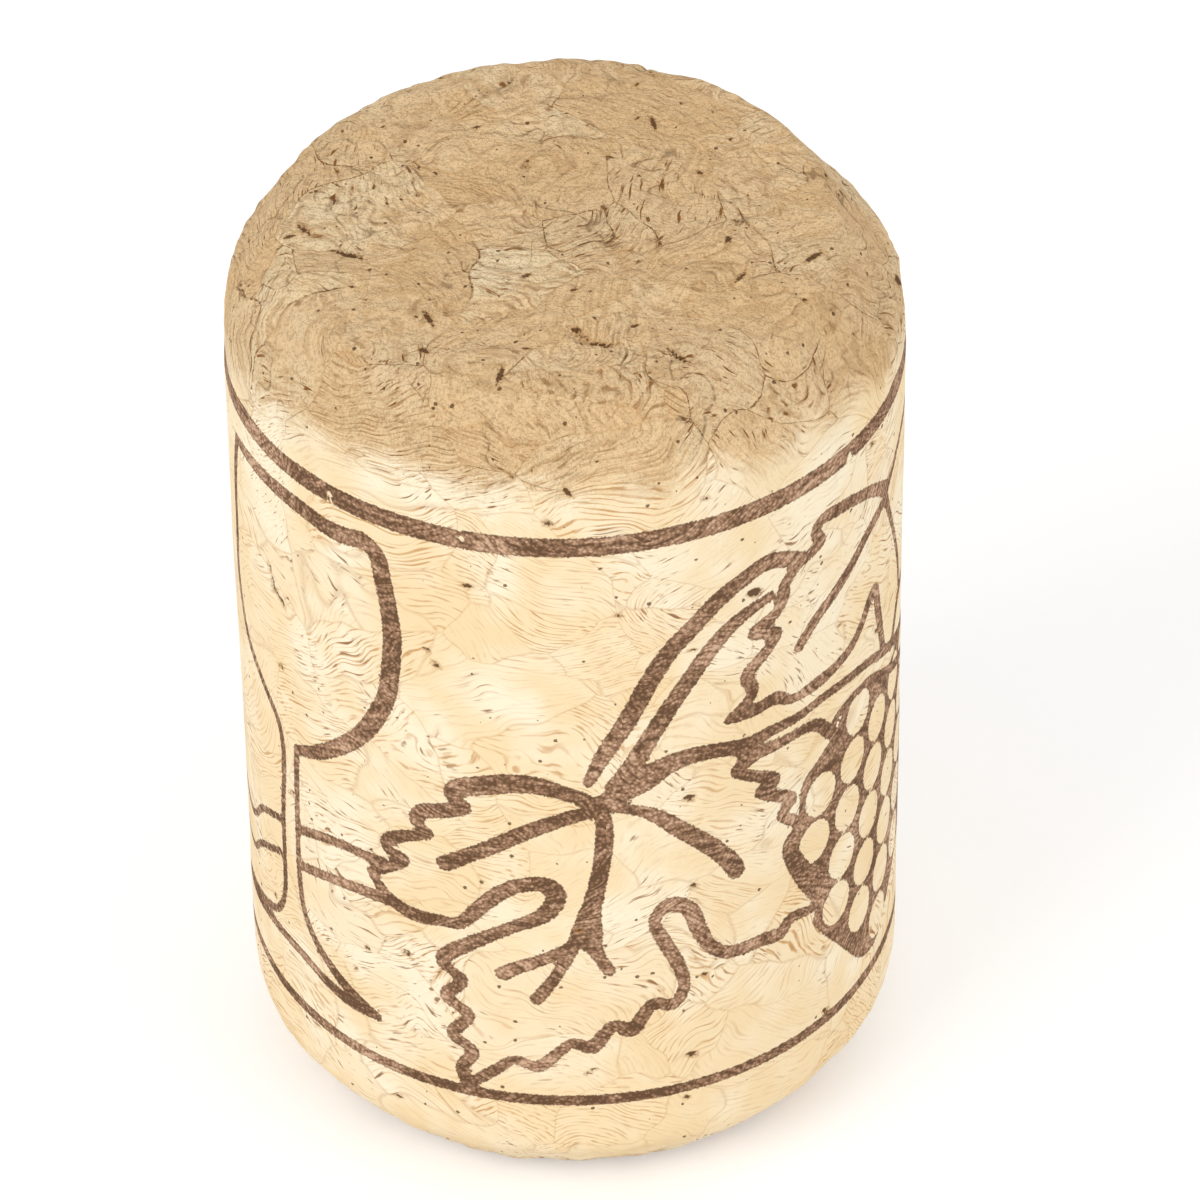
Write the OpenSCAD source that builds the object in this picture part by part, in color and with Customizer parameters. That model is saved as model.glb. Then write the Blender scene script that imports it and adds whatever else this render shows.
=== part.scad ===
// Cork stopper: one plug of pressed cork granules, ground round and bevelled at both ends.
// The plug stands on its end. The origin is the centre of the foot, +Z is up and -Y is the front.
// A turn is an angle about Z in degrees, counted from the front towards +X.

/* [Plug] */
// Diameter of the straight wall
plug_d = 22; // [18:0.5:30]
// Height from foot to top
plug_h = 33; // [24:0.5:50]

/* [Bevels] */
// How far a bevel comes in over the end
bevel_in = 1.8; // [0.8:0.1:3]
// How far a bevel runs along the wall
bevel_run = 2.4; // [1:0.1:4]
// Radius that rounds both edges of a bevel
edge_r = 1.4; // [0.4:0.1:1.6]

/* [Worn rim] */
// Depth of the wear on the top rim
wear_depth = 0.35; // [0.1:0.05:0.9]
// Turn at the middle of the worn stretch
wear_turn = 108; // [60:1:180]
// Half of the worn stretch, in degrees
wear_half = 62; // [40:1:80]

/* [Chips] */
// Length of the longest chip in a rim
chip_l = 1.6; // [0.8:0.1:2.4]
// Width of the longest chip
chip_w = 0.7; // [0.3:0.05:0.9]
// Depth of the longest chip
chip_depth = 0.25; // [0.1:0.05:0.4]
// Turn of the longest chip in the top rim
chip_turn = 125; // [0:5:355]
// Chips round each rim
chips = 9; // [3:1:14]

/* [Pores] */
// Width of the widest pore
pore_w = 0.9; // [0.5:0.1:1.3]
// Depth of the widest pore
pore_depth = 0.4; // [0.2:0.05:0.6]
// Pores on the back of the wall
back_pores = 14; // [4:1:22]
// Pores on the foot
foot_pores = 11; // [3:1:16]

/* [Cracks] */
// Length of the longest crack
crack_l = 2; // [1:0.1:3]
// Width of a crack where it opens
crack_w = 0.22; // [0.12:0.02:0.34]
// Depth of the longest crack
crack_depth = 0.4; // [0.2:0.05:0.6]

/* [Hidden] */
$fn = 96;
// Facets of a small ball
ball_fn = 16;
plug_r = plug_d / 2;

// A bevel turns the outline twice, from the end to its slope and from its slope to the wall.
// Each turn is rounded by an arc that touches both sides, trim away from the corner it replaces.
slope_turn = atan2(bevel_run, bevel_in);
wall_turn = 90 - slope_turn;
arc_room = norm([bevel_in, bevel_run]) / (tan(slope_turn / 2) + tan(wall_turn / 2));
arc_r = min(edge_r, 0.95 * arc_room);
face_trim = arc_r * tan(slope_turn / 2);
wall_trim = arc_r * tan(wall_turn / 2);
// Radius of the flat face at either end
face_r = plug_r - bevel_in - face_trim;

// The worn rim is the bevel's own cone, widened by wear_slack and moved off sideways by wear_shift.
// So it bites wear_depth at wear_turn, and comes out of the bevel wear_half away on either side.
wear_shift = wear_depth / (1 - cos(wear_half));
wear_slack = wear_shift * cos(wear_half);
function wear_at(turn) = max(0, wear_shift * cos(turn - wear_turn) - wear_slack);

// Steps by the golden ratio spread pores and chips with no rows.
GOLDEN_TURN = 137.508;
GOLDEN_SHARE = 0.618;
function spread(k) = (k * GOLDEN_SHARE) % 1;
// Sizes run from small to full in no order.
function size_share(k) = 0.35 + 0.65 * spread(k * k + 3);

// Pores seen on the wall: turn, share of the height, share of the widest pore
WALL_PORES = [
    [-61, 0.69, 0.7], [-58, 0.68, 1], [-55.5, 0.672, 0.8], [-24.4, 0.71, 0.35],
    [-22.8, 0.695, 0.4], [-29.6, 0.49, 0.3], [-3.2, 0.885, 0.5], [8.1, 0.77, 0.35],
    [23, 0.89, 0.45], [32.3, 0.755, 0.6], [20, 0.525, 0.5], [20.7, 0.41, 0.4],
    [-30.3, 0.305, 0.55], [49.3, 0.155, 0.4]
];
// Pores seen on the top: turn, share of the face's radius, share of the widest pore
TOP_PORES = [
    [-33, 0.94, 0.55], [-10, 0.81, 0.4], [8, 0.77, 1], [12, 0.73, 0.8],
    [21, 0.72, 0.45], [5, 0.45, 0.4], [45, 0.39, 0.35], [76, 0.64, 0.6],
    [118, 0.59, 0.5], [154, 0.42, 0.45], [-108, 0.57, 0.5]
];
// Cracks seen on the top: turn, share of the face's radius, bearing from +X, share of the longest crack
TOP_CRACKS = [
    [-77, 0.82, 54, 0.85], [-88, 0.97, 60, 0.65], [9, 0.68, 12, 0.8],
    [74, 0.97, 105, 0.55], [150, 0.7, 20, 0.45]
];

// Half of the plug's upright section, with each bevel's corners rounded by two arcs.
module plug_section() {
    for (end = [0, 1])
        translate([0, end * plug_h])
            mirror([0, end])
                union() {
                    polygon([
                        [0, 0],
                        [face_r, 0],
                        [face_r + face_trim * (1 + cos(slope_turn)), face_trim * sin(slope_turn)],
                        [plug_r - wall_trim * cos(slope_turn), bevel_run - wall_trim * sin(slope_turn)],
                        [plug_r, bevel_run + wall_trim],
                        [plug_r, plug_h / 2],
                        [0, plug_h / 2]
                    ]);
                    translate([face_r, arc_r])
                        circle(r = arc_r);
                    translate([plug_r - arc_r, bevel_run + wall_trim])
                        circle(r = arc_r);
                }
}

// Cuts a round pore of width w into the surface that lies at z = 0.
module pore(w, depth) {
    ball_r = (w * w / 4 + depth * depth) / (2 * depth);
    translate([0, 0, ball_r - depth])
        sphere(r = ball_r, $fn = ball_fn);
}

// Cuts a crack or a chip along X into the surface at z = 0: a lens on edge, pointed at its ends and below.
module split(l, w, depth) {
    lens_r = (l * l / 4 + depth * depth) / (2 * depth);
    lens_rise = lens_r - depth;
    lens_t = w / (1 - pow(lens_rise / lens_r, 2));
    side_r = (lens_r * lens_r + lens_t * lens_t / 4) / lens_t;
    translate([0, 0, lens_rise])
        intersection() {
            translate([0, side_r - lens_t / 2, 0])
                sphere(r = side_r);
            translate([0, lens_t / 2 - side_r, 0])
                sphere(r = side_r);
        }
}

// Sets a cut on the wall, with its +Z out of the surface.
module on_wall(turn, z) {
    rotate([0, 0, turn])
        translate([0, -plug_r, z])
            rotate([90, 0, 0])
                children();
}

// Sets a cut on the top or on the foot.
module on_end(turn, r, top) {
    rotate([0, 0, turn])
        translate([0, -r, top ? plug_h : 0])
            rotate([top ? 0 : 180, 0, 0])
                children();
}

// Sets a cut on the middle of a bevel's slope, square to it, and below what wear has taken off.
module on_bevel(turn, top) {
    rotate([0, 0, turn])
        translate([0, bevel_in / 2 - plug_r, top ? plug_h - bevel_run / 2 : bevel_run / 2])
            rotate([top ? slope_turn : 180 - slope_turn, 0, 0])
                translate([0, 0, top ? -wear_at(turn) : 0])
                    children();
}

// What wear took off the top rim: all that lies outside the moved cone.
module wear_cut() {
    side_shift = wear_shift / sin(slope_turn);
    cone_r = plug_r + wear_slack / sin(slope_turn);
    in_per_up = bevel_in / bevel_run;
    reach = bevel_run + 1.5 * wear_depth / sin(slope_turn) / in_per_up;
    rotate([0, 0, wear_turn])
        translate([0, side_shift, plug_h - bevel_run])
            difference() {
                translate([0, 0, -reach])
                    cylinder(r = cone_r + side_shift + reach * in_per_up, h = 2 * reach);
                translate([0, 0, -2 * reach])
                    cylinder(r1 = cone_r + 2 * reach * in_per_up, r2 = cone_r - 1.5 * bevel_in,
                             h = 2 * reach + 1.5 * bevel_run);
            }
}

// Chips that handling has broken out of both rims, the longest one first.
module chip_cuts() {
    for (k = [0 : chips - 1]) {
        share = k == 0 ? 1 : size_share(k);
        top_turn = chip_turn + k * GOLDEN_TURN;
        foot_turn = top_turn + GOLDEN_TURN / 2;
        on_bevel(top_turn, true)
            rotate([0, 0, 50 * k])
                split(chip_l * share, chip_w * share, chip_depth * share);
        on_bevel(foot_turn, false)
            rotate([0, 0, 50 * k])
                split(chip_l * share, chip_w * share, chip_depth * share);
    }
}

// Pores and cracks that show on the front of the wall and on the top.
module seen_cuts() {
    for (p = WALL_PORES)
        on_wall(p[0], p[1] * plug_h)
            pore(pore_w * p[2], pore_depth * p[2]);
    for (p = TOP_PORES)
        on_end(p[0], p[1] * face_r, true)
            pore(pore_w * p[2], pore_depth * p[2]);
    for (c = TOP_CRACKS)
        on_end(c[0], c[1] * face_r, true)
            rotate([0, 0, c[2] - c[0]])
                split(crack_l * c[3], crack_w, crack_depth * c[3]);
}

// Pores of the same kinds on the back of the wall and on the foot.
module hidden_cuts() {
    for (k = [0 : back_pores - 1])
        on_wall(90 + 180 * spread(k), plug_h * (0.12 + 0.76 * (k + 0.5) / back_pores))
            pore(pore_w * size_share(k), pore_depth * size_share(k));
    for (k = [0 : foot_pores - 1])
        on_end(k * GOLDEN_TURN, 0.92 * face_r * sqrt((k + 0.5) / foot_pores), false)
            pore(pore_w * size_share(k), pore_depth * size_share(k));
}

module stopper() {
    color("#F1DDB5")
        difference() {
            rotate_extrude()
                plug_section();
            wear_cut();
            chip_cuts();
            seen_cuts();
            hidden_cuts();
        }
}

stopper();
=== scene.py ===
import math

import bpy
import numpy as np
from mathutils import Matrix, Vector


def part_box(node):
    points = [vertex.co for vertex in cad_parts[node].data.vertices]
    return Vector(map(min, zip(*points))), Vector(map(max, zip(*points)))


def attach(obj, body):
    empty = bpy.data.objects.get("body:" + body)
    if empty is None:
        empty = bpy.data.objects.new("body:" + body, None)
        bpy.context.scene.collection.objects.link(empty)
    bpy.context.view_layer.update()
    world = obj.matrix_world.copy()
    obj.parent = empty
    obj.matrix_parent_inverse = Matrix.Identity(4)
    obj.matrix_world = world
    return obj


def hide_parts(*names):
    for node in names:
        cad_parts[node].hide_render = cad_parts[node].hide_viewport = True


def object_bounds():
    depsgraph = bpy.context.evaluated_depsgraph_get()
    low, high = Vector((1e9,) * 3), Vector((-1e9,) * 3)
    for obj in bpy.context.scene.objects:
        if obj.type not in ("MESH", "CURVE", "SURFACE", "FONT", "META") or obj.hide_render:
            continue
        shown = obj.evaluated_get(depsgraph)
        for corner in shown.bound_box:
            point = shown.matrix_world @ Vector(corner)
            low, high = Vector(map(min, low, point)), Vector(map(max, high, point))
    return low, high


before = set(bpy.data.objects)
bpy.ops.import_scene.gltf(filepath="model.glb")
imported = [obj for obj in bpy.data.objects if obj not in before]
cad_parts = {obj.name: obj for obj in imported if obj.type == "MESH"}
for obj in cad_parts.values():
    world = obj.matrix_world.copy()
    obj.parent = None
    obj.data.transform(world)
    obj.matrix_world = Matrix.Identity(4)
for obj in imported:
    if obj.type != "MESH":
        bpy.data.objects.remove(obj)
cad_low, cad_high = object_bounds()
MM = 0.001

# Camera
# A long lens looks down on the front from about ten plug lengths away, so the plug hardly narrows downwards.
# The plug stands a little left of the picture's middle and leans a little to the left.
PICTURE_PX = 1200
CAMERA_LIFT = math.radians(39.45)
CAMERA_ROLL = math.radians(-1.06)
CAMERA_AWAY = 243.4
FOCAL_PX = 7346
PLUG_MIDDLE_PX = (569.6, 615.9)
FILM_MM = 36

middle = (cad_low + cad_high) / 2
backward = Vector((0, -math.cos(CAMERA_LIFT), math.sin(CAMERA_LIFT)))
level_right = Vector((1, 0, 0))
level_up = backward.cross(level_right)
right = level_right * math.cos(CAMERA_ROLL) + level_up * math.sin(CAMERA_ROLL)
up = level_up * math.cos(CAMERA_ROLL) - level_right * math.sin(CAMERA_ROLL)
mm_per_px = CAMERA_AWAY / FOCAL_PX
place = middle + backward * CAMERA_AWAY * MM
aim = (
    middle
    + right * (PICTURE_PX / 2 - PLUG_MIDDLE_PX[0]) * mm_per_px * MM
    + up * (PLUG_MIDDLE_PX[1] - PICTURE_PX / 2) * mm_per_px * MM
)
backward = (place - aim).normalized()
right = up.cross(backward).normalized()
up = backward.cross(right)

camera_data = bpy.data.cameras.new("camera")
camera_data.sensor_width = FILM_MM
camera_data.lens = FILM_MM * FOCAL_PX / PICTURE_PX
camera_data.clip_start = 0.01
camera_data.clip_end = 10
camera = bpy.data.objects.new("camera", camera_data)
camera.matrix_world = Matrix.Translation(place) @ Matrix((right, up, backward)).transposed().to_4x4()
bpy.context.scene.collection.objects.link(camera)
bpy.context.scene.camera = camera

# The plug's form
# One plug of agglomerated cork: granules pressed together with glue, then ground round and bevelled.
# Its rims are rounded and a little ragged, and one stretch of the upper rim is worn down further.
low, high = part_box("stopper")
PLUG_R = (high.x - low.x) / 2 / MM
PLUG_H = high.z / MM
BEVEL_IN = 1.8
BEVEL_RUN = 2.4
EDGE_R = 1.4
WEAR_DEPTH = 0.35
WEAR_TURN = math.radians(108)
WEAR_HALF = math.radians(62)

slope_turn = math.atan2(BEVEL_RUN, BEVEL_IN)
face_trim = EDGE_R * math.tan(slope_turn / 2)
wall_trim = EDGE_R * math.tan((math.pi / 2 - slope_turn) / 2)
face_r = PLUG_R - BEVEL_IN - face_trim
arc_in = EDGE_R * slope_turn
slope_run = math.hypot(BEVEL_IN, BEVEL_RUN) - face_trim - wall_trim
arc_out = EDGE_R * (math.pi / 2 - slope_turn)
bevel_way = arc_in + slope_run + arc_out
half_way = bevel_way + PLUG_H / 2 - BEVEL_RUN - wall_trim


def skin(turn, way, top):
    """Points of the plain skin, with the ways they face and the ways that run down the section.

    The turn is an angle from the front towards +X. The way is a length in mm along the section, outward
    from the rim of the flat face: below 0 on the face, then an arc, the slope, an arc and the wall.
    The section tilts by its way along an arc divided by the arc's radius.
    """
    turn, way, top = np.broadcast_arrays(turn, way, top)
    on_in = np.clip(way, 0, arc_in)
    on_slope = np.clip(way - arc_in, 0, slope_run)
    on_out = np.clip(way - arc_in - slope_run, 0, arc_out)
    tilt = (on_in + on_out) / EDGE_R
    first = on_in / EDGE_R
    radius = face_r + np.minimum(way, 0) + EDGE_R * np.sin(first) + on_slope * math.cos(slope_turn)
    radius = radius + EDGE_R * (np.sin(tilt) - np.sin(first)) * (on_out > 0)
    drop = EDGE_R * (1 - np.cos(first)) + on_slope * math.sin(slope_turn)
    drop = drop + EDGE_R * (np.cos(first) - np.cos(tilt)) * (on_out > 0) + np.maximum(way - bevel_way, 0)
    side = np.where(top, 1.0, -1.0)
    around = np.stack([np.sin(turn), -np.cos(turn)], -1)
    point = np.concatenate([around * radius[..., None], np.where(top, PLUG_H - drop, drop)[..., None]], -1)
    facing = np.concatenate([around * np.sin(tilt)[..., None], (side * np.cos(tilt))[..., None]], -1)
    downward = np.concatenate([around * np.cos(tilt)[..., None], (-side * np.sin(tilt))[..., None]], -1)
    return point, facing, downward


# Each end is a square grid pressed into a disc, and its rim has as many points as a ring of the wall.
DISC_CELLS = 108
RING_POINTS = 4 * DISC_CELLS
HALF_ROWS = 84

ring_turn = np.radians(45) + np.arange(RING_POINTS) * 2 * math.pi / RING_POINTS
half_ways = np.linspace(0, half_way, HALF_ROWS + 1)
row_way = np.concatenate([half_ways, half_ways[-2::-1]])
row_top = np.arange(len(row_way)) <= HALF_ROWS
ring_index = np.arange(len(row_way) * RING_POINTS).reshape(len(row_way), RING_POINTS)

across, along = np.meshgrid(np.linspace(-1, 1, DISC_CELLS + 1), np.linspace(-1, 1, DISC_CELLS + 1))
by_across = np.abs(across) >= np.abs(along)
reach = np.where(by_across, across, along)
share = np.where(by_across, along, across) / np.where(reach == 0, 1, reach)
disc_angle = np.where(by_across, share * math.pi / 4, math.pi / 2 - share * math.pi / 4)
disc_x = reach * np.cos(disc_angle)
disc_y = reach * np.sin(disc_angle)
disc_turn = np.arctan2(disc_x, -disc_y)
inner = np.maximum(np.abs(across), np.abs(along)) < 1 - 0.5 / DISC_CELLS
rim_step = np.round((disc_turn - ring_turn[0]) / (2 * math.pi / RING_POINTS)).astype(int) % RING_POINTS

all_turn = [np.tile(ring_turn, len(row_way))]
all_way = [np.repeat(row_way, RING_POINTS)]
all_top = [np.repeat(row_top, RING_POINTS)]
quads = []
for top, row in ((True, 0), (False, len(row_way) - 1)):
    index = np.where(inner, 0, ring_index[row][rim_step])
    index[inner] = sum(map(len, all_turn)) + np.arange(inner.sum())
    all_turn.append(disc_turn[inner])
    all_way.append(np.hypot(disc_x, disc_y)[inner] * face_r - face_r)
    all_top.append(np.full(inner.sum(), top))
    corners = [index[:-1, :-1], index[:-1, 1:], index[1:, 1:], index[1:, :-1]]
    quads.append(np.stack(corners if top else corners[::-1], -1).reshape(-1, 4))
next_ring = np.roll(ring_index, -1, 1)
quads.append(np.stack([ring_index[:-1], ring_index[1:], next_ring[1:], next_ring[:-1]], -1).reshape(-1, 4))
quads = np.concatenate(quads)
turn = np.concatenate(all_turn)
way = np.concatenate(all_way)
top = np.concatenate(all_top)
plain, facing, downward = skin(turn, way, top)


# The plug's granules
# Cork granules 1 to 4 mm across, pressed flat along the plug and glued, which bent their growth lines.
# The ground ends are tan and rough, and the tan stops raggedly on the bevels.
def scatter(cell, seed):
    """A random value from 0 to 1 for each whole-number place: its coordinates times primes, with bits mixed."""
    at = cell.astype(np.uint64)
    mixed = at[:, 0] * np.uint64(73856093) ^ at[:, 1] * np.uint64(19349663) ^ at[:, 2] * np.uint64(83492791)
    mixed = (mixed + np.uint64(seed * 7919)) * np.uint64(2654435761)
    mixed = (mixed ^ (mixed >> np.uint64(15))) * np.uint64(2246822519)
    return ((mixed >> np.uint64(13)) & np.uint64(65535)) / 65535


def lattice_noise(points, size, seed):
    """Smooth noise from 0 to 1 with lumps of that size in mm.

    Each corner of a cubic lattice has a random value, and a point blends its cell's eight corners.
    """
    spots = points / size
    cell = np.floor(spots).astype(np.int64)
    blend = spots - cell
    blend = blend * blend * (3 - 2 * blend)
    total = np.zeros(len(points))
    for corner in np.ndindex(2, 2, 2):
        total += scatter(cell + corner, seed) * np.where(np.array(corner) == 1, blend, 1 - blend).prod(1)
    return total


# Every pattern is read at a place that sways and shivers.
sway = np.stack([lattice_noise(plain, 3.6, seed) for seed in (11, 12, 13)], -1) - 0.5
shiver = np.stack([lattice_noise(plain, 0.9, seed) for seed in (14, 15, 16)], -1) - 0.5
bent = plain + 3 * sway + 0.5 * shiver
cloud = 0.5 * lattice_noise(plain, 2.5, 17) + 0.3 * lattice_noise(plain, 1.2, 18) + 0.2 * lattice_noise(plain, 0.6, 19)
seam = 0.7 * lattice_noise(plain, 1.9, 20) + 0.3 * lattice_noise(plain, 0.7, 21) - 0.5
# The tan of the top reaches furthest down at the sides and the back. That extra reach is painted shade, for sides that
# turn away from the light.
tan_edge_with_side_shade = np.where(top, 4.9 - 1.4 * np.clip(np.cos(turn), 0, 1) ** 2, 1.2)
tan_edge_with_side_shade = tan_edge_with_side_shade + 1.2 * (lattice_noise(plain, 1.5, 6) - 0.5)
end_face = np.clip(0.5 - (way - tan_edge_with_side_shade) / 2.4, 0, 1)


# The plug's relief
# Grinding leaves the wall nearly true and the rims ragged, with pores, cracks and chips of real depth.
# Every mark goes inward, so the plug keeps its size.
def wear(turn):
    """Depth of the wear square to the bevel: a cone moved off sideways, so it bites at one turn and fades."""
    shift = WEAR_DEPTH / (1 - math.cos(WEAR_HALF))
    return np.maximum(0, shift * np.cos(turn - WEAR_TURN) - shift * math.cos(WEAR_HALF))


radius = np.hypot(plain[:, 0], plain[:, 1])
drop = np.where(top, PLUG_H - plain[:, 2], plain[:, 2])
on_rim = np.clip(np.minimum(way + 0.6, bevel_way + 0.5 - way), 0, 1)
cone_r = PLUG_R - BEVEL_IN + drop * BEVEL_IN / BEVEL_RUN
past_cone = (radius - cone_r) * math.sin(slope_turn) + wear(turn)
against_cone = facing[:, 2] * math.cos(slope_turn) + np.hypot(facing[:, 0], facing[:, 1]) * math.sin(slope_turn)
depth = np.where(top & (wear(turn) > 0), np.maximum(past_cone, 0) / np.maximum(against_cone, 0.5), 0)
depth += 0.05 * lattice_noise(plain, 5, 1) + 0.025 * lattice_noise(plain, 1.6, 2)
depth += on_rim * (0.09 * lattice_noise(plain, 1.1, 3) + 0.08 * lattice_noise(plain, 0.45, 4))
depth += end_face * (0.18 * lattice_noise(plain, 1.2, 5) + 0.1 * lattice_noise(plain, 0.5, 7))
# Seams between granules are shallow grooves.
depth += 0.08 * end_face * np.clip(1 - np.abs(seam) / 0.05, 0, 1)

# Pores in the wall: turn, height and width
WALL_PORES = [
    (-24.4, 23.4, 0.32), (-22.8, 22.9, 0.38), (-29.6, 16.2, 0.27), (-3.2, 29.2, 0.4), (8.1, 25.4, 0.32),
    (23, 29.4, 0.36), (32.3, 24.9, 0.54), (20, 17.3, 0.42), (20.7, 13.5, 0.36), (-30.3, 10.1, 0.4), (49.3, 5.1, 0.36),
]
# Cracks in the wall: turn, height, slope and length
WALL_CRACKS = [(-60.5, 22.9, 70, 1.1), (-57.5, 22.2, 25, 0.9), (-59.5, 22.4, -35, 0.7)]
# Pores in the top: turn, radius and width
TOP_PORES = [
    (-33, 8, 0.45), (-10, 6.9, 0.36), (21, 6.1, 0.4), (5, 3.8, 0.36), (45, 3.3, 0.32), (76, 5.4, 0.45),
    (118, 5, 0.4), (154, 3.6, 0.36), (-108, 4.8, 0.36),
]
# Cracks in the top: turn, radius, bearing from +X and length
TOP_CRACKS = [
    (-77, 7, 54, 1.7), (-88, 8.2, 60, 1.3), (10.5, 6.3, 48, 1.5), (4, 5.7, 30, 0.7), (74, 8.2, 105, 1.1), (150, 6, 20, 0.9),
    (-14, 8.3, 75, 1.1), (26, 8, 100, 1.6), (-40, 6.6, -15, 1.2), (60, 6.4, 60, 1.2),
]
# A hollow in the top where a piece of a granule came out, with fresh cork below
HOLLOW = (8, 6.2, 42, 2, 0.9, 0.6)
CRACK_W = 0.27
CHIP_TURN = 125
GOLDEN_TURN = 137.508
CHIP_SIZE = (1.6, 0.7, 0.25)


def size_share(k):
    """Share of the full size for the k-th chip or pore: it runs from small to full in no order."""
    return 0.35 + 0.65 * ((k * k + 3) * 0.618 % 1)


# A mark is a turn, a way, top or foot, a bearing from level, a length, a width and a depth.
marks = []
chips = [(HOLLOW[0], HOLLOW[1] - face_r, True, HOLLOW[2] - HOLLOW[0], *HOLLOW[3:])]
for mark_turn, z, width in WALL_PORES:
    marks.append((mark_turn, half_way + PLUG_H / 2 - z, True, 10, width * 1.3, width * 0.8, 0.4 * width))
for mark_turn, z, slope, length in WALL_CRACKS:
    marks.append((mark_turn, half_way + PLUG_H / 2 - z, True, slope, length, CRACK_W, 0.15))
for mark_turn, r, width in TOP_PORES:
    marks.append((mark_turn, r - face_r, True, 0, width * 1.2, width * 0.7, 0.4 * width))
for mark_turn, r, bearing, length in TOP_CRACKS:
    marks.append((mark_turn, r - face_r, True, bearing - mark_turn, length, CRACK_W, 0.2 * length))
for k in range(9):
    length, width, mark_depth = np.array(CHIP_SIZE) * (size_share(k) if k else 1)
    for mark_top, mark_turn in ((True, CHIP_TURN), (False, CHIP_TURN + GOLDEN_TURN / 2)):
        chips.append((mark_turn + k * GOLDEN_TURN, arc_in + slope_run / 2, mark_top, 50 * k, length, width, mark_depth))
for k in range(14):
    width = 0.5 * size_share(k)
    marks.append((90 + 180 * (k * 0.618 % 1), bevel_way + 1.7 * k, True, 10, width * 1.5, width, 0.4 * width))
for k in range(11):
    width = 0.7 * size_share(k)
    marks.append((k * GOLDEN_TURN, face_r * (0.92 * math.sqrt((k + 0.5) / 11) - 1), False, 0, width, width, 0.4 * width))
draw = np.random.default_rng(5)
for k in range(40):
    width = 0.2 + 0.12 * draw.random()
    marks.append((draw.uniform(-180, 180), draw.uniform(bevel_way, half_way), k % 2 == 0, draw.uniform(-30, 30),
                  width * draw.uniform(1, 2.5), width, 0.4 * width))
for k in range(36):
    width = 0.18 + 0.1 * draw.random()
    marks.append((draw.uniform(-180, 180), (bevel_way + face_r) * math.sqrt(draw.random()) - face_r, k % 3 > 0,
                  draw.uniform(0, 360), width * draw.uniform(1, 3), width, 0.5 * width))

# Pores and cracks are painted dark inside, as shade in their depth, but a chip shows fresh cork.
pit = np.full(len(plain), -0.3)
for k, (mark_turn, mark_way, mark_top, bearing, length, width, mark_depth) in enumerate(marks + chips):
    centre, outward, down = skin(math.radians(mark_turn), mark_way, mark_top)
    beside = np.cross(outward, down)
    near = np.flatnonzero(np.abs(plain - centre).max(1) < length / 2 + 0.4)
    offset = plain[near] - centre
    lengthwise = math.cos(math.radians(bearing)) * beside + math.sin(math.radians(bearing)) * down
    crosswise = np.cross(outward, lengthwise)
    share = np.hypot(offset @ lengthwise / (length / 2), offset @ crosswise / (width / 2))
    depth[near] = np.maximum(depth[near], mark_depth * np.sqrt(np.clip(1 - share**2, 0, 1)))
    if k < len(marks):
        pit[near] = np.maximum(pit[near], (1 - share) * width / 2)

points = plain - facing * np.maximum(depth, 0.001)[:, None]
mesh = bpy.data.meshes.new("cork_plug")
mesh.from_pydata((points * MM).tolist(), [], quads.tolist())
mesh.shade_smooth()
plug = bpy.data.objects.new("cork_plug", mesh)
bpy.context.scene.collection.objects.link(plug)
for name, values in {"pit": pit, "end_face": end_face, "cloud": cloud, "seam": seam}.items():
    mesh.attributes.new(name, "FLOAT", "POINT").data.foreach_set("value", values.astype(np.float32))
mesh.attributes.new("bent", "FLOAT_VECTOR", "POINT").data.foreach_set("vector", bent.astype(np.float32).ravel())

# The print
# Brown ink rolled onto the wall: two rings round it, and between them a wine glass, vine leaves and grapes.
# Such line work is the usual trim of these plugs. A row is a place along the wall from the front, a height
# and the line's width there, all in mm.
GIRTH = 2 * math.pi * PLUG_R
RINGS = [(28.25, 0.76), (4.8, 0.46)]
GLASS = [
    [(-14.1, 26.7, 0.4), (-12.4, 26.8, 0.55), (-10.7, 26.9, 0.65), (-9.4, 26.9, 0.7), (-8.1, 26.8, 0.72),
     (-6.9, 27, 0.72)],
    [(-6.9, 27, 0.72), (-6.4, 26.7, 0.7), (-6.2, 25.8, 0.7), (-6, 24.6, 0.7), (-5.9, 23.5, 0.72),
     (-6, 22.3, 0.72), (-6.2, 21, 0.7), (-6.7, 19.8, 0.7), (-7.4, 18.7, 0.66), (-8.4, 17.7, 0.62),
     (-9.4, 16.9, 0.55), (-10.5, 16.3, 0.4)],
    [(-10.5, 16.3, 0.34), (-10.6, 14.9, 0.32), (-10.7, 12.3, 0.3), (-10.7, 10.3, 0.32), (-10.5, 9.2, 0.34),
     (-9.8, 8.2, 0.4), (-8.5, 7.3, 0.5), (-7.1, 6.7, 0.4)],
    [(-14.1, 26.7, 0.4), (-14.6, 24.9, 0.4), (-14.8, 22.9, 0.4), (-14.9, 21.1, 0.4), (-14.6, 19.6, 0.4),
     (-13.9, 18.5, 0.38), (-12.7, 17.7, 0.36), (-11.7, 16.9, 0.34), (-11.4, 16, 0.3), (-11.4, 14.8, 0.3),
     (-11.6, 12.9, 0.3), (-11.7, 10.9, 0.3), (-11.8, 9.2, 0.3), (-12.4, 8, 0.32), (-13.8, 7.3, 0.36),
     (-15.4, 6.9, 0.36), (-16.6, 6.6, 0.3)],
    [(-16.6, 6.6, 0.3), (-14.9, 6.7, 0.36), (-12.8, 7.1, 0.4), (-10.9, 7.2, 0.42), (-9.5, 6.9, 0.45),
     (-8.3, 6.7, 0.5), (-7.1, 6.7, 0.4)],
]
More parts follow.
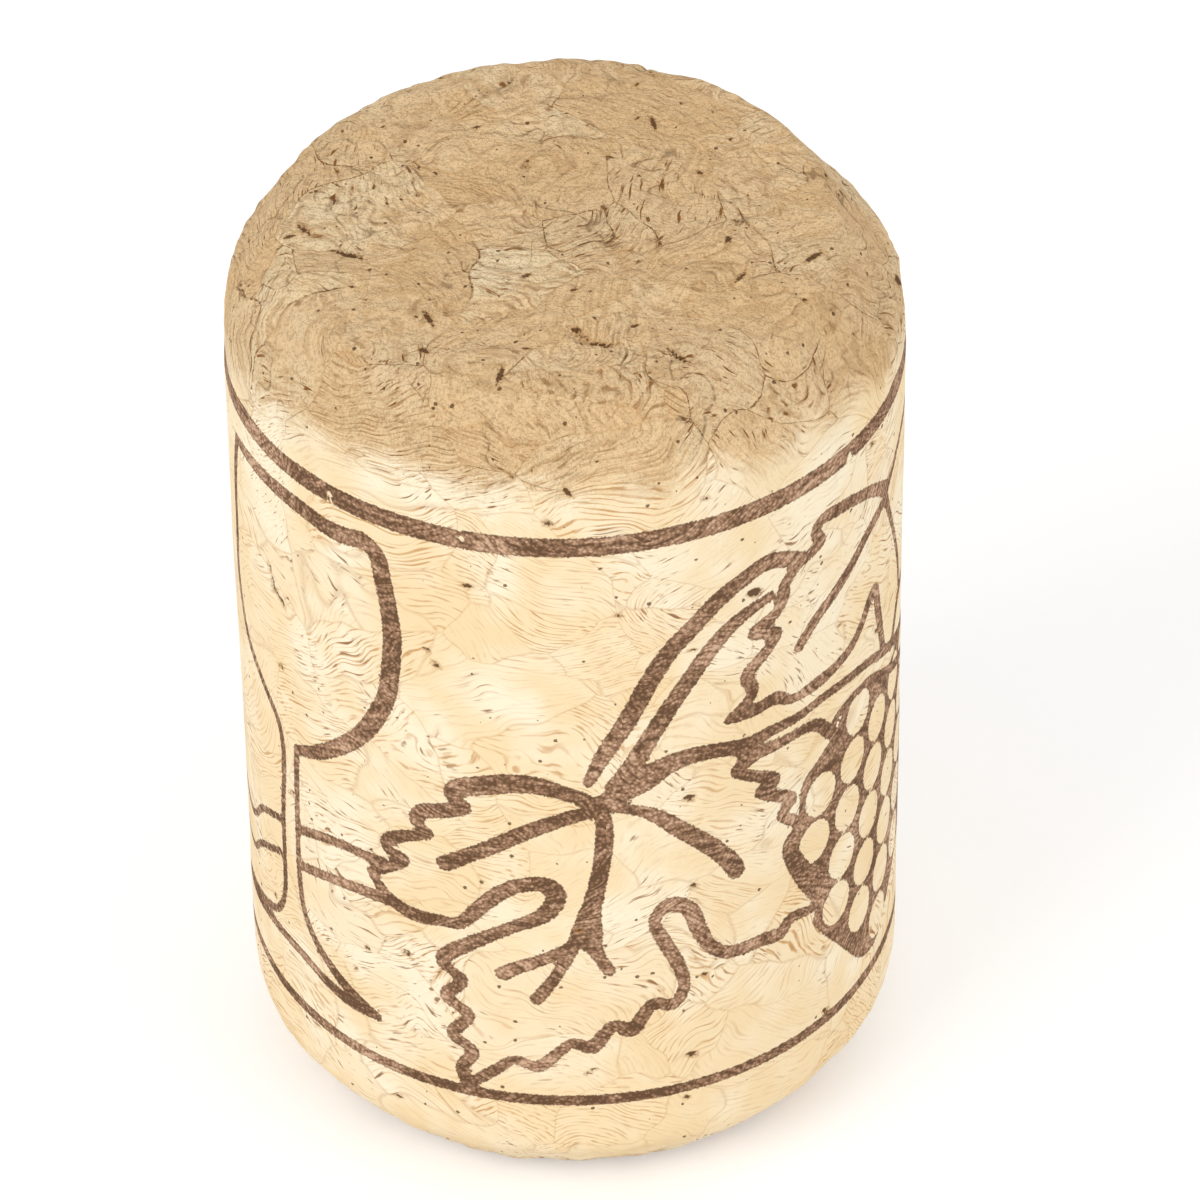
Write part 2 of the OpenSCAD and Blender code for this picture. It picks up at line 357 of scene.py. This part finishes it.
LEAF_EDGE = [
    [(0.8, 17.7, 0.5), (-0.3, 18.2, 0.6), (-1.2, 18.5, 0.75), (-2, 18.5, 0.8), (-2.8, 18.3, 0.8),
     (-3.7, 18, 0.75), (-4, 17.6, 0.5), (-3.5, 17.2, 0.45), (-4.2, 16.9, 0.6), (-5, 16.6, 0.6), (-5.3, 16.1, 0.45),
     (-4.8, 15.7, 0.35), (-5.7, 15.3, 0.5), (-6.4, 14.8, 0.5), (-6.4, 14.4, 0.4), (-5.8, 14.2, 0.5),
     (-7.1, 13.1, 0.4)],
    [(-7.1, 13.1, 0.4), (-6.5, 12.4, 0.5), (-5.6, 12, 0.6), (-4.4, 12.1, 0.5), (-3.8, 12.2, 0.5),
     (-2.9, 13.3, 0.6), (-2, 14.1, 0.6), (-1, 14.3, 0.65), (-0.6, 13.8, 0.7), (-1, 13, 0.65),
     (-2, 12.4, 0.5), (-3.2, 11.6, 0.55), (-4.3, 10.7, 0.6), (-4.5, 10.2, 0.4), (-3.8, 9.7, 0.45),
     (-4.4, 8.8, 0.5), (-3.6, 8.2, 0.45), (-4.2, 7.2, 0.5), (-3.5, 6.6, 0.45), (-3.9, 5.8, 0.5), (-3.7, 4.9, 0.4)],
    [(-3.7, 5.1, 0.4), (-2.8, 5.9, 0.45), (-2.1, 6.5, 0.4), (-1.3, 6.3, 0.5), (-0.6, 7, 0.45), (-0.1, 7.4, 0.4),
     (0.5, 7.2, 0.6), (1.2, 8.1, 0.45), (1.8, 7.8, 0.6), (2.5, 8.8, 0.5), (3.2, 8.6, 0.5), (3.6, 9.3, 0.45),
     (3.4, 10.3, 0.5), (2.9, 11.5, 0.5), (2.6, 12.4, 0.45), (3.1, 13, 0.6), (3.8, 12.6, 0.6),
     (4.1, 11.7, 0.6), (4.5, 10.8, 0.5), (5.2, 10.2, 0.55), (6.5, 10.1, 0.6), (7.3, 10, 0.6), (7.7, 10.4, 0.5),
     (8.7, 10.2, 0.4), (9.3, 10.4, 0.4)],
    [(9.2, 10.4, 0.8), (8.2, 12.1, 0.8), (7.6, 13.6, 0.6), (8.1, 14.2, 0.5), (7.3, 15.1, 0.45), (7.7, 15.6, 0.5),
     (6.4, 16.5, 0.45), (7, 16.8, 0.5), (5.5, 17.8, 0.45), (6.2, 18.2, 0.6)],
]
LEAF_VEINS = [
    [(1, 17.5, 0.5), (-0.3, 17.1, 0.58), (-1.5, 16.5, 0.62), (-2.7, 15.7, 0.62), (-3.6, 15.1, 0.6), (-4.3, 14.6, 0.62)],
    [(1, 17.6, 0.4), (2.2, 17.2, 0.45), (2.9, 16.7, 0.6), (3.7, 15.9, 0.66), (4.5, 15.1, 0.68), (5.2, 14.2, 0.68),
     (5.5, 13.6, 0.68)],
    [(0.9, 17.6, 0.5), (1, 16.4, 0.62), (0.9, 15.2, 0.6), (0.7, 14, 0.62), (0.5, 13.1, 0.75), (0.4, 12.2, 1),
     (0.7, 11.3, 0.5), (1.1, 10.5, 0.45)],
    [(0.3, 12.3, 0.9), (-0.1, 11.7, 0.5), (-1, 11.1, 0.5), (-1.8, 10.7, 0.55), (-2.4, 10.3, 0.6)],
    [(0, 11.8, 0.5), (-0.4, 10.9, 0.45), (-0.8, 10.1, 0.45), (-1.3, 9.3, 0.5)],
]
STALK_AND_CANE = [
    [(0.5, 18.6, 0.4), (1, 19.7, 0.6), (1.8, 21.1, 0.7), (2.4, 22.3, 0.72), (3.1, 23.5, 0.72), (4, 24.4, 0.7),
     (4.9, 25.2, 0.7), (5.9, 25.7, 0.66), (6.8, 25.9, 0.66), (8, 25.4, 0.55)],
    [(1.4, 18.3, 0.8), (1.9, 19.1, 0.72), (2.5, 20.2, 0.68), (3.1, 21.2, 0.66), (3.7, 22.1, 0.66),
     (4.6, 23.3, 0.66), (5.4, 24, 0.6), (6.1, 24.3, 0.5), (6.8, 24.5, 0.4)],
    [(0.9, 17.8, 0.5), (1.6, 18.1, 0.8), (2.3, 18.5, 1), (3, 18.9, 0.85), (3.8, 19.1, 0.7), (4.9, 19, 0.62),
     (5.8, 18.8, 0.62), (6.8, 18.9, 0.5), (8, 18.9, 0.42), (9.1, 19, 0.4), (10.4, 18.9, 0.4), (11.9, 18.6, 0.4),
     (13.1, 18.1, 0.4), (16, 17, 0.4), (24, 14.6, 0.4), (34, 14.2, 0.4), (44, 13.6, 0.4), (50, 12, 0.4),
     (54, 10.4, 0.3), (55.7, 11.6, 0.3), (57.3, 12.4, 0.3)],
    [(5.8, 18.3, 0.6), (6.7, 18.2, 0.5), (7.6, 18.2, 0.42), (8.3, 18.2, 0.42), (8.9, 18, 0.5), (9.4, 17.4, 0.5),
     (9.9, 16.9, 0.5)],
    [(9.6, 17.3, 0.4), (9.9, 17.7, 0.35), (10.7, 17.9, 0.35), (11.9, 17.8, 0.35), (13.1, 17.2, 0.35),
     (15, 16.2, 0.4), (20, 14.3, 0.4), (26, 13.3, 0.4), (34, 12.8, 0.4), (43, 12.3, 0.4), (49, 10.9, 0.4),
     (53.6, 8.8, 0.3), (55.5, 9.9, 0.3), (57.1, 10.8, 0.3)],
    [(-10.6, 12.8, 0.4), (-9.4, 13.3, 0.42), (-8.3, 13.6, 0.42), (-7.3, 13.7, 0.42), (-6.6, 13.8, 0.4)],
    [(-10.7, 11.2, 0.42), (-9.5, 11.6, 0.42), (-8.4, 11.9, 0.45), (-7.4, 12.1, 0.5), (-6.2, 12.2, 0.5)],
]
SECOND_LEAF = [
    [(13.1, 24.9, 0.6), (12, 25.6, 0.5), (10.7, 26.1, 0.5), (9.8, 26.3, 0.55), (9, 26.4, 0.5), (8.7, 26, 0.45),
     (9, 25.5, 0.45), (8, 25.2, 0.5), (7.4, 24.7, 0.5), (7.3, 24.2, 0.6), (7, 23.7, 0.5), (6.1, 23.3, 0.45),
     (7, 22.9, 0.5), (6.7, 22.4, 0.5), (5.9, 21.7, 0.55), (6.1, 21, 0.5), (5.9, 20.6, 0.45), (5.2, 20.1, 0.4)],
    [(5.2, 20.1, 0.4), (6.2, 20.1, 0.5), (7, 20.2, 0.55), (7.7, 19.8, 0.4), (8.8, 19.8, 0.55), (9.8, 19.9, 0.45),
     (10.6, 20.1, 0.45), (11.3, 20.6, 0.45), (11.9, 21.3, 0.5), (12.3, 21.3, 0.5), (12.5, 20.4, 0.5),
     (12.8, 19.3, 0.45), (13.1, 18.1, 0.45)],
    [(13.1, 24.5, 0.5), (11.7, 24.1, 0.48), (10.6, 23.5, 0.5), (9.7, 23, 0.5), (8.8, 22.5, 0.5), (8, 21.8, 0.5)],
    [(13.1, 24.6, 0.5), (13.5, 23.7, 0.35), (14, 22.6, 0.3), (14.8, 20.8, 0.3), (15.2, 19.3, 0.3)],
    [(13.1, 24.8, 0.6), (13.8, 25.1, 0.35), (14.6, 25.6, 0.35), (15.8, 26.1, 0.4), (16.8, 26, 0.5),
     (16.9, 25.3, 0.45), (18.2, 24.6, 0.5), (18, 24, 0.45), (19.2, 22.9, 0.5), (18.8, 22.3, 0.45),
     (19.8, 20.6, 0.5), (19.7, 19.7, 0.4)],
    [(19.7, 19.7, 0.4), (18.6, 20, 0.5), (17.9, 19.5, 0.45), (16.9, 20, 0.5), (16.2, 19.2, 0.45),
     (15, 18.9, 0.5), (14, 17.6, 0.4)],
]


def smooth(rows, steps=6):
    """A curve through given rows: Catmull-Rom cubics, each leaving along its neighbours' chord."""
    rows = np.array(rows, float)
    padded = np.concatenate([[2 * rows[0] - rows[1]], rows, [2 * rows[-1] - rows[-2]]])
    before, start, end, after = padded[:-3, None], padded[1:-2, None], padded[2:-1, None], padded[3:, None]
    t = (np.arange(steps) / steps)[None, :, None]
    curve = start + 0.5 * t * (
        end - before + t * (2 * before - 5 * start + 4 * end - after + t * (3 * (start - end) + after - before))
    )
    return np.concatenate([curve.reshape(-1, rows.shape[1]), rows[-1:]])


def inked(points, line):
    """How deep each point lies in a line, in mm: half the line's width at the nearest place less the distance."""
    start = line[:-1]
    run = line[1:] - start
    best = np.full(len(points), -99.0)
    for part in np.array_split(np.arange(len(points)), max(1, len(points) // 4000)):
        offset = points[part, None] - start[:, :2]
        share = np.clip((offset * run[:, :2]).sum(2) / (run[:, :2] ** 2).sum(1), 0, 1)
        away = np.hypot(*np.moveaxis(offset - share[..., None] * run[:, :2], 2, 0))
        best[part] = ((start[:, 2] + share * run[:, 2]) / 2 - away).max(1)
    return best


def inside(points, outline):
    """True for points inside a closed outline: a level ray to the right crosses it an odd number of times."""
    (x0, z0), (x1, z1) = outline[:-1, :2].T, outline[1:, :2].T
    x, z = points[:, :1], points[:, 1:]
    crosses = (z0 > z) != (z1 > z)
    at = x0 + (z - z0) * (x1 - x0) / np.where(z1 == z0, 1, z1 - z0)
    return (crosses & (x < at)).sum(1) % 2 == 1


lines = [smooth([(-GIRTH, z, width), (2 * GIRTH, z, width)], 1) for z, width in RINGS]
lines += [smooth(rows) for rows in GLASS + LEAF_EDGE + LEAF_VEINS + STALK_AND_CANE + SECOND_LEAF]
on_wall = np.flatnonzero(way > bevel_way - 0.4)
wall_turn = (turn[on_wall] + math.pi) % (2 * math.pi) - math.pi
ink = np.full(len(plain), -1.0)
for lap in (0, GIRTH):
    spots = np.stack([wall_turn * PLUG_R + lap, plain[on_wall, 2]], -1)
    for line in lines:
        near = np.flatnonzero(((spots > line[:, :2].min(0) - 1) & (spots < line[:, :2].max(0) + 1)).all(1))
        if len(near):
            ink[on_wall[near]] = np.maximum(ink[on_wall[near]], inked(spots[near], line))

# The grapes: a patch of ink with a pale oval left for each grape, in columns that lean as they go down.
# A column is its top grape's place along the wall, that grape's height, and the number of grapes.
BUNCH_EDGE = [
    (9.9, 17.2, 0), (8.8, 16.4, 0), (8.2, 15.9, 0), (8, 14.5, 0), (7.8, 13.4, 0), (7.9, 12.6, 0), (8.7, 11.2, 0),
    (9.2, 10.4, 0), (8.8, 9.8, 0), (8.9, 9.2, 0), (10.2, 7.5, 0), (11.6, 5.9, 0), (13, 5.7, 0), (14.4, 7, 0),
    (15.6, 7.8, 0), (17, 8.6, 0), (17.9, 10.4, 0), (18.5, 12.6, 0), (18.6, 14.6, 0), (18, 16, 0), (16.6, 17.2, 0),
    (15, 17.2, 0), (13.4, 17, 0), (11.8, 17.8, 0), (10.6, 17.9, 0), (9.9, 17.2, 0),
]
GRAPE_COLUMNS = [(9.1, 14.9, 2), (11.2, 17, 5), (12.7, 15.6, 5), (14.5, 16, 6), (16.2, 16.1, 5), (17.8, 14.9, 3)]
GRAPE_STEP = (-0.3, -1.86)
GRAPE_HALF = (0.75, 0.86)
# Spots where the roller missed the upper ring
BARE_SPOTS = [(-8.2, 28.2), (-3.4, 28.3), (10.4, 28.1)]
BARE_R = 0.14

spots = np.stack([wall_turn * PLUG_R, plain[on_wall, 2]], -1)
bunch = smooth(BUNCH_EDGE)
near = np.flatnonzero(((spots > bunch[:, :2].min(0) - 1) & (spots < bunch[:, :2].max(0) + 1)).all(1))
edge = inked(spots[near], bunch)
patch = np.where(inside(spots[near], bunch), -edge, edge)
for first, z, count in GRAPE_COLUMNS:
    for k in range(count):
        offset = spots[near] - (first + k * GRAPE_STEP[0], z + k * GRAPE_STEP[1])
        patch = np.minimum(patch, (np.hypot(*(offset / GRAPE_HALF).T) - 1) * min(GRAPE_HALF))
ink[on_wall[near]] = np.maximum(ink[on_wall[near]], patch)
for spot in BARE_SPOTS:
    ink[on_wall] = np.minimum(ink[on_wall], np.hypot(*(spots - spot).T) - BARE_R)
mesh.attributes.new("ink", "FLOAT", "POINT").data.foreach_set("value", np.clip(ink, -1, 1).astype(np.float32))


# The cork's finish
# Agglomerated cork, ground and not lacquered: quite matt, pale cream on the wall and tan on the ground ends.
# Each granule shows its growth lines, cut at its own angle, and dark specks of bark and glue between.
def linear(hex_colour):
    """An sRGB hex colour as linear light: each channel undone by the sRGB curve, with full alpha."""
    channels = [int(hex_colour[k : k + 2], 16) / 255 for k in (1, 3, 5)]
    return (*(c / 12.92 if c <= 0.04045 else ((c + 0.055) / 1.055) ** 2.4 for c in channels), 1)


def add(tree, kind, settings=None, links=None):
    """Adds a node to a tree, sets its properties and fills its inputs.

    An input is named, or counted among those in use. It takes a value, a socket, or a node's first output.
    """
    node = tree.nodes.new("ShaderNode" + kind)
    for name, value in (settings or {}).items():
        setattr(node, name, value)
    sockets = [socket for socket in node.inputs if socket.enabled]
    for name, value in (links or {}).items():
        socket = sockets[name] if isinstance(name, int) else next(s for s in sockets if s.name == name)
        if isinstance(value, bpy.types.Node):
            value = next(s for s in value.outputs if s.enabled)
        if isinstance(value, bpy.types.NodeSocket):
            tree.links.new(value, socket)
        else:
            socket.default_value = value
    return node


COLOUR = {"data_type": "RGBA"}
SOFT = {"interpolation_type": "SMOOTHSTEP"}
material = bpy.data.materials.new("ground_agglomerated_cork")
material.use_nodes = True
cork = material.node_tree
cork.nodes.clear()
position = add(cork, "VectorMath", {"operation": "SCALE"},
               {0: add(cork, "TexCoord").outputs["Object"], "Scale": 1000})
bent = add(cork, "Attribute", {"attribute_name": "bent"}).outputs["Vector"]
cloud = add(cork, "Attribute", {"attribute_name": "cloud"}).outputs["Fac"]
seam = add(cork, "Attribute", {"attribute_name": "seam"}).outputs["Fac"]

# Granules 1 to 4 mm across. How much further the next one's middle is tells how near a border is.
flattened = add(cork, "VectorMath", {"operation": "MULTIPLY"}, {0: bent, 1: (0.28, 0.28, 0.4)})
granule = add(cork, "TexVoronoi", {}, {"Vector": flattened, "Scale": 1})
next_granule = add(cork, "TexVoronoi", {"feature": "F2"}, {"Vector": flattened, "Scale": 1})
border = add(cork, "Math", {"operation": "SUBTRACT"},
             {0: next_granule.outputs["Distance"], 1: granule.outputs["Distance"]})
granule_tone = add(cork, "SeparateColor", {}, {0: granule.outputs["Color"]})

# Growth layers lie across the plug, tilted by a different amount in each granule.
tilt = add(cork, "VectorMath", {"operation": "MULTIPLY_ADD"},
           {0: granule.outputs["Color"], 1: (1.4, 1.4, 0.4), 2: (-0.7, -0.7, 0.6)})
tilt = add(cork, "VectorMath", {"operation": "NORMALIZE"}, {0: tilt})
layer = add(cork, "VectorMath", {"operation": "DOT_PRODUCT"}, {0: bent, 1: tilt}).outputs["Value"]
across_layers = add(cork, "Math", {"operation": "MULTIPLY"}, {0: layer, 1: 6})
across_layers = add(cork, "VectorMath", {"operation": "SCALE"}, {0: tilt, "Scale": across_layers})
growth_place = add(cork, "VectorMath", {"operation": "MULTIPLY_ADD"}, {0: bent, 1: (0.9, 0.9, 0.9), 2: across_layers})
growth = add(cork, "TexNoise", {}, {"Vector": growth_place, "Scale": 1, "Detail": 2, "Roughness": 0.6})

# The growth layers wear unevenly, so the tan of the ends stops along them.
end_in = add(cork, "Attribute", {"attribute_name": "end_face"}).outputs["Fac"]
ends = add(cork, "Math", {"operation": "MULTIPLY_ADD"}, {0: growth, 1: 0.8, 2: end_in})
ends = add(cork, "MapRange", SOFT, {"Value": ends, "From Min": 0.6, "From Max": 1.25})

# Fine growth lines 0.17 mm apart, strong in some granules and faint in others
wander = add(cork, "Math", {"operation": "MULTIPLY"}, {0: growth, 1: 10})
fine_turns = add(cork, "Math", {"operation": "MULTIPLY_ADD"}, {0: layer, 1: 2 * math.pi / 0.17, 2: wander})
fine_line = add(cork, "MapRange", SOFT,
                {"Value": add(cork, "Math", {"operation": "SINE"}, {0: fine_turns}), "From Min": 0.1, "From Max": 1})
stretches = add(cork, "TexNoise", {}, {"Vector": growth_place, "Scale": 1.5, "Detail": 1, "Roughness": 0.6})
fine_parts = add(cork, "MapRange", SOFT, {"Value": stretches, "From Min": 0.37, "From Max": 0.62, "To Max": 0.8})
lined = add(cork, "MapRange", SOFT,
            {"Value": granule_tone.outputs["Blue"], "From Min": 0.2, "From Max": 1, "To Min": 0.2})
fine_line = add(cork, "Math", {"operation": "MULTIPLY"}, {0: fine_line, 1: fine_parts})
fine_line = add(cork, "Math", {"operation": "MULTIPLY"}, {0: fine_line, 1: lined})

# Dark dashes along the growth lines, in the more lined granules
dash = add(cork, "MapRange", SOFT, {"Value": stretches, "From Min": 0.62, "From Max": 0.72, "To Max": 0.85})
dash_parts = add(cork, "MapRange", SOFT, {"Value": cloud, "From Min": 0.48, "From Max": 0.6, "To Min": 0.1})
dash_parts = add(cork, "Math", {"operation": "MULTIPLY_ADD"}, {0: ends, 1: 0.35, 2: dash_parts})
dash = add(cork, "Math", {"operation": "MULTIPLY", "use_clamp": True}, {0: dash, 1: dash_parts})

# Granules part along their borders: a soft tan line on the wall, and broken dark cracks on the ends.
grit = add(cork, "TexNoise", {}, {"Vector": position, "Scale": 9, "Detail": 1, "Roughness": 0.7})
outline = add(cork, "MapRange", SOFT, {"Value": border, "From Max": 0.03, "To Min": 0.22, "To Max": 0})
crack = add(cork, "Math", {"operation": "MULTIPLY_ADD"}, {0: stretches, 1: 0.05, 2: border})
crack = add(cork, "MapRange", SOFT, {"Value": crack, "From Min": 0.026, "From Max": 0.04, "To Min": 1, "To Max": 0})
seam_away = add(cork, "Math", {"operation": "ABSOLUTE"}, {0: seam})
seam_line = add(cork, "MapRange", SOFT,
                {"Value": seam_away, "From Min": 0.003, "From Max": 0.014, "To Min": 0.55, "To Max": 0})
crack = add(cork, "Math", {"operation": "MAXIMUM"}, {0: crack, 1: seam_line})
crack_parts = add(cork, "MapRange", SOFT, {"Value": cloud, "From Min": 0.42, "From Max": 0.56, "To Max": 0.9})
crack = add(cork, "Math", {"operation": "MULTIPLY"}, {0: crack, 1: crack_parts})
crack_parts = add(cork, "MapRange", SOFT, {"Value": growth, "From Min": 0.38, "From Max": 0.5, "To Min": 0.15})
crack = add(cork, "Math", {"operation": "MULTIPLY"}, {0: crack, 1: crack_parts})
crack_parts = add(cork, "MapRange", {}, {"Value": ends, "To Min": 0.1})
crack = add(cork, "Math", {"operation": "MULTIPLY"}, {0: crack, 1: crack_parts})

# Pinholes: the dark ends of cells and specks of bark, 0.1 mm across
speck = add(cork, "TexVoronoi", {}, {"Vector": position, "Scale": 2})
speck_pick = add(cork, "SeparateColor", {}, {0: speck.outputs["Color"]})
speck_least = add(cork, "MapRange", {}, {"Value": ends, "To Min": 0.62, "To Max": 0.2})
speck_size = add(cork, "MapRange", {},
                 {"Value": speck_pick.outputs["Red"], "From Min": speck_least, "From Max": 1, "To Max": 0.13})
speck_in = add(cork, "Math", {"operation": "SUBTRACT"}, {0: speck_size, 1: speck.outputs["Distance"]})
speck_in = add(cork, "Math", {"operation": "MULTIPLY_ADD"}, {0: grit, 1: 0.2, 2: speck_in})
speck_in = add(cork, "MapRange", SOFT, {"Value": speck_in, "From Min": 0.06, "From Max": 0.1, "To Max": 0.85})

# Wall colours
cloudy = add(cork, "MapRange", {}, {"Value": cloud, "From Min": 0.35, "From Max": 0.65})
wall = add(cork, "Mix", COLOUR, {0: cloudy, 1: linear("#F8DFB4"), 2: linear("#FEEFD1")})
wall_tint = add(cork, "MapRange", SOFT,
                {"Value": granule_tone.outputs["Red"], "From Min": 0.6, "From Max": 0.95, "To Max": 0.25})
wall = add(cork, "Mix", COLOUR, {0: wall_tint, 1: wall, 2: linear("#F2D09A")})

# End colours: granules from grey tan to red tan, mottled by the open cells of the ground face, with painted shade for
# the lumps of the ground face
# The broad tone across the ends is partly painted shade of their lumps, and partly tone that differs at random.
end = add(cork, "Mix", COLOUR, {0: cloudy, 1: linear("#F0CF9F"), 2: linear("#F1DAB1")})
end_tint = add(cork, "MapRange", {}, {"Value": granule_tone.outputs["Green"], "To Max": 0.7})
end = add(cork, "Mix", COLOUR, {0: end_tint, 1: end, 2: linear("#DFBC8E")})
red_tint = add(cork, "MapRange", SOFT,
               {"Value": granule_tone.outputs["Red"], "From Min": 0.6, "From Max": 0.9, "To Max": 0.4})
end = add(cork, "Mix", COLOUR, {0: red_tint, 1: end, 2: linear("#DFB580")})
# Painted shade: darker streaks along the growth stand for the shade of the ends' wrinkled lumps.
painted_lump_shade = add(cork, "MapRange", SOFT, {"Value": growth, "From Min": 0.48, "From Max": 0.64, "To Max": 0.55})
end = add(cork, "Mix", COLOUR, {0: painted_lump_shade, 1: end, 2: linear("#C7A071")})
mottle = add(cork, "MapRange", SOFT, {"Value": grit, "From Min": 0.5, "From Max": 0.7, "To Max": 0.45})
end = add(cork, "Mix", COLOUR, {0: mottle, 1: end, 2: linear("#B0875A")})
skin_colour = add(cork, "Mix", COLOUR, {0: ends, 1: wall, 2: end})

line_colour = add(cork, "Mix", COLOUR, {0: ends, 1: linear("#C8904F"), 2: linear("#A5784A")})
skin_colour = add(cork, "Mix", COLOUR, {0: fine_line, 1: skin_colour, 2: line_colour})
skin_colour = add(cork, "Mix", COLOUR, {0: outline, 1: skin_colour, 2: linear("#C08A48")})
skin_colour = add(cork, "Mix", COLOUR, {0: dash, 1: skin_colour, 2: linear("#8A5A2C")})
skin_colour = add(cork, "Mix", COLOUR, {0: crack, 1: skin_colour, 2: linear("#63401F")})
skin_colour = add(cork, "Mix", COLOUR, {0: speck_in, 1: skin_colour, 2: linear("#5A3818")})

# Brown ink sinks into the cork and dries leathery: a fine crackle, with the grain showing through.
ink_in = add(cork, "Attribute", {"attribute_name": "ink"}).outputs["Fac"]
fray = add(cork, "MapRange", {"clamp": False},
           {"Value": grit, "From Min": 0.3, "From Max": 0.7, "To Min": -0.03, "To Max": 0.03})
ink_in = add(cork, "Math", {"operation": "ADD"}, {0: ink_in, 1: fray})
ink_cover = add(cork, "MapRange", SOFT, {"Value": ink_in, "From Min": -0.02, "From Max": 0.03, "To Max": 0.97})
ink_edge = add(cork, "MapRange", SOFT,
               {"Value": ink_in, "From Min": 0.02, "From Max": 0.12, "To Min": 0.45, "To Max": 0})
crackle = add(cork, "TexVoronoi", {}, {"Vector": position, "Scale": 8})
ink_tone = add(cork, "Math", {"operation": "MULTIPLY_ADD"}, {0: crackle.outputs["Distance"], 1: -0.45, 2: growth})
ink_tone = add(cork, "Math", {"operation": "MULTIPLY_ADD"}, {0: cloud, 1: 0.5, 2: ink_tone})
ink_depth = add(cork, "MapRange", {}, {"Value": ink_tone, "From Min": 0.36, "From Max": 0.56})
ink_colour = add(cork, "Mix", COLOUR, {0: ink_depth, 1: linear("#5F4029"), 2: linear("#9C765A")})
ink_light = add(cork, "MapRange", {}, {"Value": ink_tone, "From Min": 0.58, "From Max": 0.76})
ink_colour = add(cork, "Mix", COLOUR, {0: ink_light, 1: ink_colour, 2: linear("#D3AD8F")})
ink_colour = add(cork, "Mix", COLOUR, {0: ink_edge, 1: ink_colour, 2: linear("#66452C")})
colour = add(cork, "Mix", COLOUR, {0: ink_cover, 1: skin_colour, 2: ink_colour})

# Pores are painted dark inside, as shade in their depth, with a tan halo where the cork round them is bruised.
pit_in = add(cork, "Attribute", {"attribute_name": "pit"}).outputs["Fac"]
pit_fray = add(cork, "MapRange", {"clamp": False}, {"Value": grit, "To Min": -0.06, "To Max": 0.06})
pit_in = add(cork, "Math", {"operation": "ADD"}, {0: pit_in, 1: pit_fray})
halo = add(cork, "MapRange", SOFT, {"Value": pit_in, "From Min": -0.04, "From Max": 0.03, "To Max": 0.4})
colour = add(cork, "Mix", COLOUR, {0: halo, 1: colour, 2: linear("#B88447")})
# Painted shade: the inside of each pore and crack is darkened by its depth.
pit_painted_shade = add(cork, "MapRange", SOFT, {"Value": pit_in, "From Min": 0.02, "From Max": 0.06, "To Max": 0.9})
colour = add(cork, "Mix", COLOUR, {0: pit_painted_shade, 1: colour, 2: linear("#553416")})

lumps = add(cork, "TexNoise", {}, {"Vector": position, "Scale": 2.5, "Detail": 3, "Roughness": 0.65})
rise = add(cork, "MapRange", {}, {"Value": end_in, "To Min": 0.06, "To Max": 0.4})
height = add(cork, "Math", {"operation": "MULTIPLY"}, {0: lumps, 1: rise})
relief = add(cork, "Bump", {}, {"Height": height, "Distance": MM, "Strength": 1.0})
shader = add(cork, "BsdfPrincipled", {}, {"Base Color": colour, "Roughness": 0.85, "IOR": 1.4, "Normal": relief})
shader.inputs["Specular IOR Level"].default_value = 0.3
add(cork, "OutputMaterial", {}, {"Surface": shader})
mesh.materials.append(material)

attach(plug, "root")
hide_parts("stopper")

# Setting
# A plain white floor under soft light. The floor adds a little light of its own to what the camera sees.
# So it comes out white, apart from the plug's shadow.
scene = bpy.context.scene
scene.view_settings.view_transform = "Standard"
FLOOR_R = 1.5
FLOOR_GLOW = 0.25
ROOM_LIGHT = 0.65

bpy.ops.mesh.primitive_circle_add(vertices=96, radius=FLOOR_R, fill_type="NGON")
floor = bpy.context.object
floor.name = "floor"
floor_material = bpy.data.materials.new("white_floor")
floor_material.use_nodes = True
floor.data.materials.append(floor_material)
floor_tree = floor_material.node_tree
floor_tree.nodes.clear()
seen = add(floor_tree, "LightPath").outputs["Is Camera Ray"]
glow = add(floor_tree, "Math", {"operation": "MULTIPLY"}, {0: seen, 1: FLOOR_GLOW})
floor_shader = add(floor_tree, "BsdfPrincipled", {},
                   {"Base Color": linear("#F0F0F0"), "Roughness": 0.9, "Specular IOR Level": 0.1,
                    "Emission Color": linear("#FFFFFF"), "Emission Strength": glow})
add(floor_tree, "OutputMaterial", {}, {"Surface": floor_shader})

world = bpy.data.worlds.new("white_room")
scene.world = world
world.use_nodes = True
room = world.node_tree
room.nodes.clear()
rays = add(room, "LightPath")
plain_view = add(room, "Math", {"operation": "MAXIMUM"},
                 {0: rays.outputs["Is Camera Ray"], 1: rays.outputs["Is Glossy Ray"]})
plain_view = add(room, "Math", {"operation": "MAXIMUM"}, {0: plain_view, 1: rays.outputs["Is Transmission Ray"]})
strength = add(room, "MapRange", {}, {"Value": plain_view, "To Min": ROOM_LIGHT, "To Max": 1.0})
background = add(room, "Background", {}, {"Color": linear("#FFFFFF"), "Strength": strength})
add(room, "OutputWorld", {}, {"Surface": background})

# Soft boxes: side of the front, height angle, distance, width, power
LAMPS = [
    ("key_box", -50, 32, 0.6, 0.35, 1.42),
    ("fill_box", 55, 22, 0.6, 0.4, 0.9),
    ("top_box", 150, 70, 0.6, 0.4, 0.3),
]
for name, side, lift, away, width, power in LAMPS:
    lamp_data = bpy.data.lights.new(name, "AREA")
    lamp_data.size = width
    lamp_data.energy = power
    lamp = bpy.data.objects.new(name, lamp_data)
    ahead = Vector((
        math.sin(math.radians(side)) * math.cos(math.radians(lift)),
        -math.cos(math.radians(side)) * math.cos(math.radians(lift)),
        math.sin(math.radians(lift)),
    ))
    lamp.location = middle + ahead * away
    lamp.rotation_euler = ahead.to_track_quat("Z", "Y").to_euler()
    scene.collection.objects.link(lamp)

bpy.context.view_layer.update()
